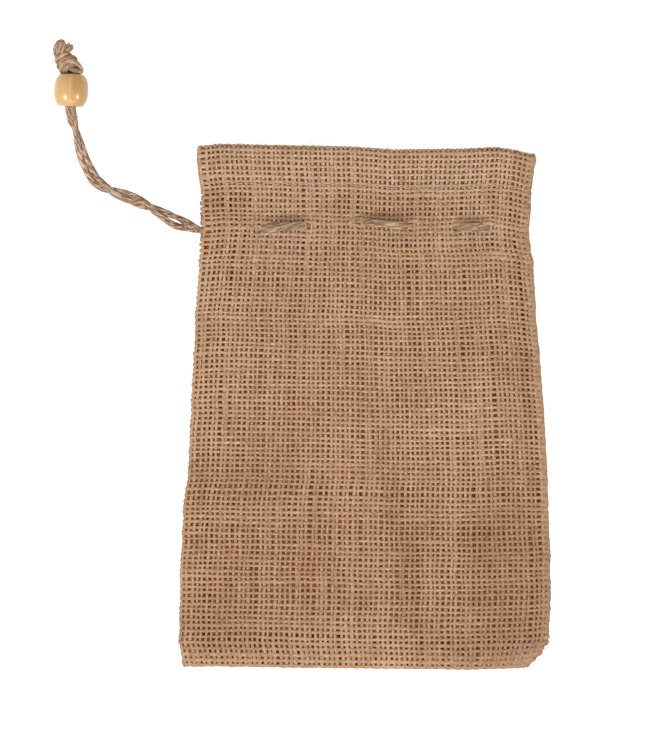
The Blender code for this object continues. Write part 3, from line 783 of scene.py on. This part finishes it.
def jute(name, dark, tan, pale, through, girth=3.4, twist=0.45, streak=1.6, fineness=3.0,
         painted_valley_shade=0.12, shortness=0.35, painted_inner_light=None, painted_shade_and_tone_ovals=()):
    """Spun jute: fibres that wind round the yarn, some darker and some paler, with narrow dark valleys
    between them as painted shade, dull and hairy. through is how much light goes on through it. The
    yarn's underside, which is the cloth's inner face, is painted in a warm colour if it is given one:
    painted light and shade of the inside as it shows through the holes. Oval places are made paler or
    darker."""
    finish = Finish(name, Specular_IOR_Level=0.12)
    along, which, around = finish.along_and_across()
    own = finish.chance(which + 0.5)
    winding = around * girth + along * twist
    at_fibre = finish.point(along * shortness, winding * fineness, which * 3.7)
    fibres = finish.noise(at_fibre, 1.0, 3.0, 0.6)
    at_fine = finish.point(along * shortness * 2.6, winding * 9.0, which * 5.3)
    fine = finish.noise(at_fine, 1.0, 2.0, 0.6)
    slow = finish.noise(finish.point(along * 0.045, which * 7.9), 1.0, 1.0)
    blotch = finish.noise(finish.place(), 0.035, 2.0)
    tone = 0.5 + (own - 0.5) * OWN_TONE + (slow - 0.5) * SLOW_TONE + (blotch - 0.5) * BLOTCH_TONE
    tone = tone + (fibres - 0.5) * streak + (fine - 0.5) * streak * 0.6
    # Painted shade in the narrow valleys between the fibres.
    tone = tone - (1.0 - (fibres - 0.46).size() * 14.0).clipped() * painted_valley_shade
    x, y, _ = finish.parts(finish.place())
    # Oval places paler or darker: painted light and shade on the cloth, tone on the twine's stitches
    # and the tuft.
    shade = 0.0
    for *place, more in painted_shade_and_tone_ovals:
        shade = shade + inside_of(x, y, *place).clipped() * more
    tone = (tone + shade * SHADE_TONE).clipped()
    ruddy = rgba(tan[0] * 1.01, tan[1] * 0.95, tan[2] * 0.97)
    tint = finish.noise(finish.place(), 0.09, 3.0, 0.7)
    uneven_tan = finish.mix(((tint - 0.5) * 4.0 + 0.4).clipped(), tan, ruddy)
    colour = finish.mix((tone * 2.0).clipped(), dark, uneven_tan)
    colour = finish.mix((tone * 2.0 - 1.0).clipped(), colour, pale)
    # Darker oval places are also dulled; on the cloth this is painted shade.
    if painted_shade_and_tone_ovals:
        colour = finish.mix((shade * -SHADE_DULLS).clipped(), colour, DULL)
    # The cloth's inner face, as it shows through the holes, is painted with warm light and shade:
    # another colour in the hem, and none along the rim and the bottom left corner.
    if painted_inner_light:
        shows = (((around - 0.5).size() - PAINTED_INNER_FROM) * 6.0).clipped()
        for place in RIM:
            shows = shows * (1.0 - inside_of(x, y, *place) * 4.0).clipped()
        in_hem = ((y - HEM_FROM) * 0.5).clipped()
        colour = finish.mix(shows, colour, finish.mix(in_hem, painted_inner_light, HEM_PAINTED_INNER_LIGHT))
    finish.put("Base Color", colour)
    finish.put("Roughness", (0.78 + (fine - 0.5) * 0.3).clipped())
    lumps = finish.bump(fibres * 0.6 + fine * 0.4, 0.55, 0.12)
    finish.put("Normal", lumps)
    lit = [(1 - LIT_SHARE) * plain + LIT_SHARE * shone for plain, shone in zip(tan, LIT_THROUGH)]
    finish.let_through(through, rgba(*lit), lumps)
    return finish.material


# The cloth's yarns, with painted warm light and shade on their inner face, and painted light and shade
# in oval places of the cloth.
burlap = jute("jute_yarn", rgba(0.34, 0.175, 0.078), rgba(0.51, 0.33, 0.195), rgba(0.69, 0.51, 0.36),
              0.37, painted_inner_light=rgba(0.72, 0.30, 0.085), painted_shade_and_tone_ovals=CLOTH_PAINTED_LIGHT_AND_SHADE)
# The cloth turned in between the panels is a brighter orange than the outer cloth: painted warm light
# and shade of the inside, as it shows through the holes.
turned_in_painted_light_finish = jute("jute_yarn_turned_in_painted_light", rgba(0.50, 0.21, 0.062), rgba(0.72, 0.35, 0.13),
                        rgba(0.80, 0.45, 0.20), 0.45)
twine_finish = jute("jute_twine", rgba(0.085, 0.042, 0.020), rgba(0.29, 0.192, 0.125),
                    rgba(0.53, 0.385, 0.275), 0.03, girth=7.5, twist=0.26, streak=2.0,
                    fineness=1.5, painted_valley_shade=0.5, shortness=0.2)
drawn_finish = jute("jute_twine_drawn", rgba(0.06, 0.031, 0.015), rgba(0.225, 0.134, 0.078),
                    rgba(0.44, 0.308, 0.197), 0.03, girth=7.5, twist=0.10, streak=1.9,
                    fineness=2.0, painted_valley_shade=0.35, shortness=0.14, painted_shade_and_tone_ovals=STITCH_SHADES)
knot_finish = jute("jute_twine_tied", rgba(0.145, 0.071, 0.037), rgba(0.335, 0.222, 0.135),
                   rgba(0.585, 0.42, 0.285), 0.05, girth=7.5, twist=0.26, streak=1.9,
                   fineness=1.4, painted_valley_shade=0.4, shortness=0.25, painted_shade_and_tone_ovals=TUFT_SHADES)
thread_finish = jute("sewing_thread", rgba(0.26, 0.155, 0.085), rgba(0.44, 0.29, 0.17),
                     rgba(0.60, 0.43, 0.28), 0.1, girth=2.0, twist=1.5, streak=0.6, painted_valley_shade=0.0)


def varnished_wood():
    """Pale golden wood with its grain along the bead, under a clear gloss varnish."""
    finish = Finish("varnished_wood", Coat_Weight=0.8, Coat_Roughness=0.20, Coat_IOR=1.4,
                    Specular_IOR_Level=0.25)
    x, y, z = finish.parts(finish.place())
    x, y, z = x - BEAD_AT[0], y - BEAD_AT[1], z - BEAD_WIDTH / 2
    waver = finish.noise(finish.point(x * 0.12, y * 0.05, z * 0.12), 1.0, 2.0)
    from_pith = ((x - PITH[0]) ** 2.0 + (z - PITH[1]) ** 2.0) ** 0.5 + waver * 2.2
    band = finish.noise(finish.point(from_pith * 0.55, y * 0.012), 1.0, 2.0, 0.6)
    pores = finish.noise(finish.point(x * 3.4, y * 0.16, z * 3.4), 1.0, 3.0, 0.6)
    tone = 0.55 + (band - 0.5) * 0.9 + (pores - 0.5) * 0.35 - x * 0.045
    tone = tone - inside_of(x, y, *BEAD_STAIN).clipped() * 0.30
    tone = tone.clipped()
    colour = finish.mix(tone, rgba(0.33, 0.155, 0.045), rgba(0.51, 0.320, 0.132))
    finish.put("Base Color", colour)
    finish.put("Roughness", (0.42 + (pores - 0.5) * 0.2).clipped())
    finish.put("Normal", finish.bump(pores, 0.10, 0.05))
    return finish.material


bead_finish = varnished_wood()


TABLE_HALF = 4.0  # in metres
# The part of the table that the sack covers, which gets a painted dark brown shadow: its half width
# and how much less it is further up, the line that cuts its bottom corners, and its ends.
COVERED_HALF, COVERED_LEAN = 72.2, 0.055
CORNER_FAR, CORNER_X, CORNER_Y = 122.1, 0.752, 0.659
COVERED_FROM, COVERED_TO = -108.8, 106.0


def white_floor():
    """A white table that glows evenly from below, with a painted dark brown shadow where the sack
    covers it.
    """
    finish = Finish("lit_white_table", Base_Color=rgba(0.2, 0.2, 0.2), Roughness=0.9,
                    Specular_IOR_Level=0.0, Emission_Color=rgba(1, 1, 1), Emission_Strength=0.97)
    x, y, _ = finish.parts(finish.place())
    painted_shadow = (COVERED_HALF - y * COVERED_LEAN - x.size()).clipped()
    painted_shadow = painted_shadow * (CORNER_FAR - x.size() * CORNER_X + y * CORNER_Y).clipped()
    painted_shadow = painted_shadow * (y - COVERED_FROM).clipped() * (COVERED_TO - y).clipped()
    # Where the sack covers it, the table's glow and colour are dark brown: a painted shadow.
    finish.put("Emission Color", finish.mix(painted_shadow, rgba(1, 1, 1), rgba(0.08, 0.035, 0.01)))
    finish.put("Base Color", finish.mix(painted_shadow, rgba(0.2, 0.2, 0.2), rgba(0.16, 0.07, 0.022)))
    mesh = bpy.data.meshes.new("table")
    at = [(x * TABLE_HALF, y * TABLE_HALF, 0) for x, y in ((-1, -1), (1, -1), (1, 1), (-1, 1))]
    mesh.from_pydata(at, [], [(0, 1, 2, 3)])
    mesh.materials.append(finish.material)
    in_scene("table", mesh)


# ---- The twine, its bead and its knot ----


def turned_bead():
    """A barrel with a straight bore and eased edges, turned about the line through it."""
    half, bore, end = BEAD_LENGTH / 2, BEAD_BORE / 2, BEAD_END / 2
    shares = -np.cos(np.linspace(0, pi, BEAD_RINGS))
    swell = (1 - abs(shares) ** BEAD_SQUARENESS) ** BEAD_SHOULDER
    side_line = [*zip(end + (BEAD_WIDTH / 2 - end) * swell, shares * half)]
    mouth = [(bore + out, half - within) for out, within in BORE_EDGE]
    profile = [*((r, -y) for r, y in mouth), *side_line, *reversed(mouth)]
    angles = 2 * pi * np.arange(BEAD_SIDES) / BEAD_SIDES
    turn, rows = radians(BEAD_TURN), len(profile)
    points = []
    for angle in angles:
        for r, y in profile:
            x = r * sin(angle)
            across, along = x * cos(turn) - y * sin(turn), x * sin(turn) + y * cos(turn)
            points.append((BEAD_AT[0] + across, BEAD_AT[1] + along, BEAD_WIDTH / 2 + r * cos(angle)))
    faces, places = [], []
    for i in range(BEAD_SIDES):
        for j in range(rows):
            here, after = i * rows, (i + 1) % BEAD_SIDES * rows
            faces.append((here + j, here + (j + 1) % rows, after + (j + 1) % rows, after + j))
            places += [(i, j), (i, j + 1), (i + 1, j + 1), (i + 1, j)]
    mesh = bpy.data.meshes.new("bead_turned")
    mesh.from_pydata([tuple(c * MM for c in p) for p in points], [], faces)
    lay_out(mesh, "OFBake", *(np.array(places) / (BEAD_SIDES, rows)).T)
    mesh.update()
    mesh.shade_smooth()
    mesh.materials.append(bead_finish)
    piece = on_root(in_scene("bead_turned", mesh))
    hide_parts("bead")
    return piece


def opened(route, strands, away):
    """A cut end as separate strands that lie round its route and part towards its tip."""
    ups = carried(route)
    asides = np.cross(ups, unit(np.gradient(route, axis=0)))
    share = np.linspace(0, 1, len(route))[:, None]
    away = away * (1 + TUFT_PARTS * share)
    angles = [2 * pi * i / strands + TUFT_TWIST * share for i in range(strands)]
    return [route + away * (asides * np.cos(angle) + ups * np.sin(angle)) for angle in angles]


def tied_knot():
    """The knot's turns and its tuft's strands, and the fibres that fray from the tuft."""
    routes = [evenly(smooth(turn, KNOT_STEP), KNOT_SAMPLES) for turn in KNOT_TURNS]
    halves = [KNOT_STRAND] * len(routes)
    for cut_end in TUFT_ENDS:
        strands = opened(evenly(smooth(cut_end, KNOT_STEP), KNOT_SAMPLES), TUFT_STRANDS, TUFT_APART)
        routes += strands
        halves += [TUFT_STRAND] * len(strands)
    ups = np.stack([carried(route) for route in routes])
    steps = np.array([run_lengths(route)[-1] / (KNOT_SAMPLES - 1) for route in routes])
    outlines = [bundled(KNOT_SAMPLES, step, half, KNOT_SIDES) for step, half in zip(steps, halves)]
    outlines = np.stack(outlines) * (1 + drift(len(routes), KNOT_SAMPLES, KNOT_DRIFT))[..., None]
    ends_in = np.minimum(np.arange(KNOT_SAMPLES), np.arange(KNOT_SAMPLES)[::-1]) / 3 + 0.3
    outlines = outlines * np.minimum(ends_in, 1)[None, :, None]
    routes = np.stack(routes)
    piece = tubes("knot_tied", routes, ups, outlines, outlines, KNOT_SIDES, knot_finish, steps)
    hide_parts("knot")
    tuft = routes[len(KNOT_TURNS):]
    strand = rng.integers(0, len(tuft), TUFT_FIBRES)
    roots = tuft[strand, rng.integers(KNOT_SAMPLES // 4, KNOT_SAMPLES, TUFT_FIBRES)]
    outs = unit(roots - TUFT_ROOT + 0.6 * rng.standard_normal((TUFT_FIBRES, 3)))
    fray = loose_fibres("tuft_fibres", roots + outs * TUFT_STRAND / 2, outs, TUFT_FIBRE,
                        TUFT_STAND, knot_finish)
    return [piece, fray]


bead = turned_bead()
knot_pieces = tied_knot()
tail_routes = tail_ends()
for name, route in zip(("front_end", "back_end"), tail_routes):
    cord = twine("twine_" + name, route, twine_finish)
    route[0] * MM
    route * MM

round_route = way_round(tail_routes[0][0], tail_routes[1][0])
across = round_route[:, 0]
on_front = round_route[:, 1] > line_of(front_stitches, across) - BETWEEN_LINES
shown = np.where(on_front, outside(front_stitches, across), outside(back_stitches, across))
spread_out = ease((shown + 1) / 2)[:, None]
drawstring = twine("twine_round_the_sack", round_route, drawn_finish, 1 + STITCH_WIDER * spread_out,
                   1 - STITCH_FLATTER * spread_out, STITCH_TURN)
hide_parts("drawstring")


def twine_fibres():
    routes = np.concatenate((*tail_routes, round_route))
    roots = routes[rng.integers(0, len(routes), TWINE_FIBRES)]
    outs = unit(rng.standard_normal((TWINE_FIBRES, 3)) + (0, 0, 0.4))
    loose_fibres("twine_fibres", roots + outs * TWINE * 0.42, outs, TWINE_FIBRE, TWINE_STAND,
                 twine_finish)


twine_fibres()


# ---- The woven cloth ----


def lay_yarns(name, grid, normals, wefts, warps, weft_halves, warp_halves, sides, finish,
              looped_row=None, flat=1.0):
    """The yarns of one piece of cloth, over and under each other on the grid of its middle:
    wefts are its rows that hold one, and warps its columns. Some warps loop over the weft of the
    looped row. flat is how much they wave at each point."""
    over = np.zeros(grid.shape[:2])
    over[np.ix_(wefts, warps)] = (np.add.outer(wefts // 2, warps // 2) % 2) * 2 - 1
    if looped_row:
        looped = wander(1, len(over[0]), LOOP_REACH)[0] > LOOP_FROM
        over[looped_row] = np.where(looped, -LOOP_OUT * abs(over[looped_row]), over[looped_row])
    lift = (CRIMP * over * flat)[..., None] * normals
    weft_routes = (grid + lift + WEFT_PROUD * normals)[wefts]
    warp_routes, warp_ups = (grid - lift)[:, warps].swapaxes(0, 1), normals[:, warps].swapaxes(0, 1)
    made = {}
    for kind, routes, ups, halves, step in (
        ("weft", weft_routes, normals[wefts], weft_halves, WEFT_SAMPLE),
        ("warp", warp_routes, warp_ups, warp_halves, WARP_SAMPLE),
    ):
        made[kind] = tubes(kind + "_" + name, routes, ups, halves[..., None], YARN_HALF,
                           sides, finish, step)
    return made


def uneven(yarns, samples, width, own, swells, slub, limits):
    """Half widths of yarns that are each a little thicker or thinner, and swell here and there."""
    halves = width / 2 * (1 + own * rng.standard_normal((yarns, 1))) + drift(yarns, samples, swells)
    halves = halves + slub * np.maximum(wander(yarns, samples, SLUB_REACH) - SLUB_FROM, 0)
    return np.clip(halves, *limits)


def weave(grid, normals, rim):
    """The yarns of both panels, which lie closer at the edges, the fold and the hem."""
    count, columns = grid.shape[:2]
    wefts, warps = np.arange(2, count, 2), np.arange(1, columns, 2)
    weft_halves = uneven(len(wefts), columns, WEFT_WIDTH, WEFT_OWN, WEFT_SWELLS, WEFT_SLUB, WEFT_HALVES)
    warp_halves = uneven(len(warps), count, WARP_WIDTH, WARP_OWN, WARP_SWELLS, WARP_SLUB, WARP_HALVES)
    fold_end = 2 * (EDGE_WARPS + WARPS + FOLD_WARPS)
    column = np.arange(columns)
    at_fold = ease((FOLD_WARPS + 3 - abs(column - fold_end + FOLD_WARPS)) / 4)
    at_edge = ease((2 * EDGE_WARPS + 1 - np.minimum(column, columns - 1 - column)) / 3)
    closer = 1 + FOLD_CLOSER * at_fold + EDGE_CLOSER * at_edge
    weft_halves, warp_halves = weft_halves * closer, warp_halves * closer[warps][:, None]
    in_hem = ease((wefts - rim + 2 * HEM_ROWS) / 4)
    weft_halves = weft_halves * (1 + HEM_CLOSER * np.outer(in_hem, at_edge))
    weft_halves = weft_halves * (1 + BOTTOM_CLOSER * ease((BOTTOM_WEFTS - wefts) / 6))[:, None]
    near_bottom = ease((BOTTOM_WARPS - np.arange(count)) / 5)
    warp_halves = np.minimum(warp_halves * (1 + BOTTOM_CLOSER * near_bottom), WIDEST_WARP)
    flat = 1 - FOLD_FLATTER * np.outer(ease((np.arange(count) - CORNER_ROWS[1]) / 6), at_fold)
    made = {}
    for name, sides, low, high, wider in (
        ("front", FRONT_SIDES, 0, fold_end, 1.0),
        ("back", BACK_SIDES, fold_end, columns - 1, BACK_WIDER),
    ):
        span = slice(low, high + 1)
        mine = (warps >= low) & (warps < high)
        made[name] = lay_yarns(name, grid[:, span], normals[:, span], wefts, warps[mine] - low,
                               weft_halves[:, span] * wider, warp_halves[mine] * wider, sides,
                               burlap, rim, flat[:, span])
    return made


def turned_in(name, grid, normals, rows, columns, share):
    """The cloth that is turned in at a sewn edge, between the panels: its points lie this share of
    the way from the front panel's to those of the back panel under them."""
    last = grid.shape[1] - 1
    front, back = grid[rows][:, columns], grid[rows][:, last - columns]
    layer = front * (1 - share) + back * share + np.array((0.25, 0.5, 0)) * PITCH_TOP
    ups = -normals[rows][:, columns]
    wefts, warps = np.arange(0, len(rows), 2), np.arange(0, len(columns), 2)
    weft_halves = np.broadcast_to(WEFT_WIDTH / 2 * BACK_WIDER, (len(wefts), len(columns)))
    warp_halves = np.broadcast_to(WARP_WIDTH / 2 * BACK_WIDER, (len(warps), len(rows)))
    return lay_yarns(name, layer, ups, wefts, warps, weft_halves, warp_halves, BACK_SIDES,
                     turned_in_painted_light_finish)


def hem_stitches():
    """Small stitches of sewing thread over the cloth of both panels, along the hem's lower edge."""
    routes, ups = [], []
    share = np.linspace(0, 1, THREAD_SAMPLES)
    for up, cloth in ((1, front_height), (-1, back_height)):
        for x in np.arange(THREAD_FROM, THREAD_TO, THREAD_STEP):
            across = (x - HEM_LEFT) / HEM_WIDTH
            y = np.interp(across, ends["across"], ends["mouth"]) - HEM_DEPTH + THREAD_IN
            along = x + THREAD_STITCH * share
            y = y + 0.2 * rng.standard_normal() + 0.25 * (share - 0.5) * rng.standard_normal()
            z = cloth(along, y) + up * (THREAD_LOW + THREAD_BOW * np.sin(pi * share))
            routes.append(np.column_stack((along, y, np.maximum(z, THREAD_HALF))))
            ups.append(np.tile((0.0, 0.0, float(up)), (len(share), 1)))
    return tubes("hem_thread", np.array(routes), np.array(ups), THREAD_HALF * 1.2,
                 THREAD_HALF, 6, thread_finish, THREAD_STITCH / (len(share) - 1), abreast=4)


def cloth_fibres(name, grid, normals, count):
    rows = rng.integers(3, grid.shape[0] - 2 * HEM_ROWS, count)
    columns = rng.integers(0, grid.shape[1], count)
    outs = normals[rows, columns]
    return loose_fibres(name, grid[rows, columns] + outs * (YARN_HALF + 0.22), outs,
                        CLOTH_FIBRE, CLOTH_STAND, burlap, CLOTH_LIES_LOW)


grid, rim = cloth_grid()
front_end = 2 * (EDGE_WARPS + WARPS) + FOLD_WARPS
spread(grid, slice(0, front_end), stitch_ends(front_stitches), HOLE_RADIUS, HOLE_REACH)
spread(grid, slice(front_end, None), stitch_ends(back_stitches), HOLE_RADIUS, HOLE_REACH)
normals = unit(np.cross(np.gradient(grid, axis=1), np.gradient(grid, axis=0)))
panels = weave(grid, normals, rim)
side_rows, side_columns = np.arange(4, rim - 1), 2 * EDGE_WARPS + np.arange(-1, SEAM_ALLOWANCE)
seam_rows, all_columns = np.arange(3, 3 + SEAM_ALLOWANCE), np.arange(4, front_end)
allowances = []
for edge, rows, columns in (("side", side_rows, side_columns), ("bottom", seam_rows, all_columns)):
    for layer, share in SEAM_LAYERS:
        allowances += turned_in(f"{edge}_seam_{layer}", grid, normals, rows, columns, share).values()
front_fibres = cloth_fibres("front_fibres", grid[:, :front_end], normals[:, :front_end], FRONT_FIBRES)
back_fibres = cloth_fibres("back_fibres", grid[:, front_end:], normals[:, front_end:], BACK_FIBRES)
hem_thread = hem_stitches()
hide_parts("sack")


# ---- Light ----

WORLD_LIGHT = 0.70
# Each softbox's name, where it is in metres, its size and its power. It faces the sack's middle.
SOFTBOXES = (
    ("left_softbox", (-0.90, -0.36, 0.92), (0.50, 0.50), 14.0),
    ("right_softbox", (0.92, -0.36, 0.88), (0.36, 0.36), 9.5),
    ("near_softbox", (0.0, -0.95, 1.0), (1.2, 0.5), 6.0),
)


def softbox(name, at, size, power):
    data = bpy.data.lights.new(name, "AREA")
    data.shape = "RECTANGLE"
    data.size, data.size_y = size
    data.energy = power
    light = in_scene(name, data)
    light.location = at
    x, y, z = at
    light.rotation_euler = (pi / 2 - np.arctan2(z, hypot(x, y)), 0, np.arctan2(y, x) + pi / 2)


def light_studio():
    world = bpy.data.worlds.new("studio")
    world.use_nodes = True
    background = world.node_tree.nodes["Background"].inputs
    background["Color"].default_value = (1, 1, 1, 1)
    background["Strength"].default_value = WORLD_LIGHT
    bpy.context.scene.world = world
    for row in SOFTBOXES:
        softbox(*row)
    bpy.context.scene.view_settings.view_transform = "Standard"


white_floor()
light_studio()
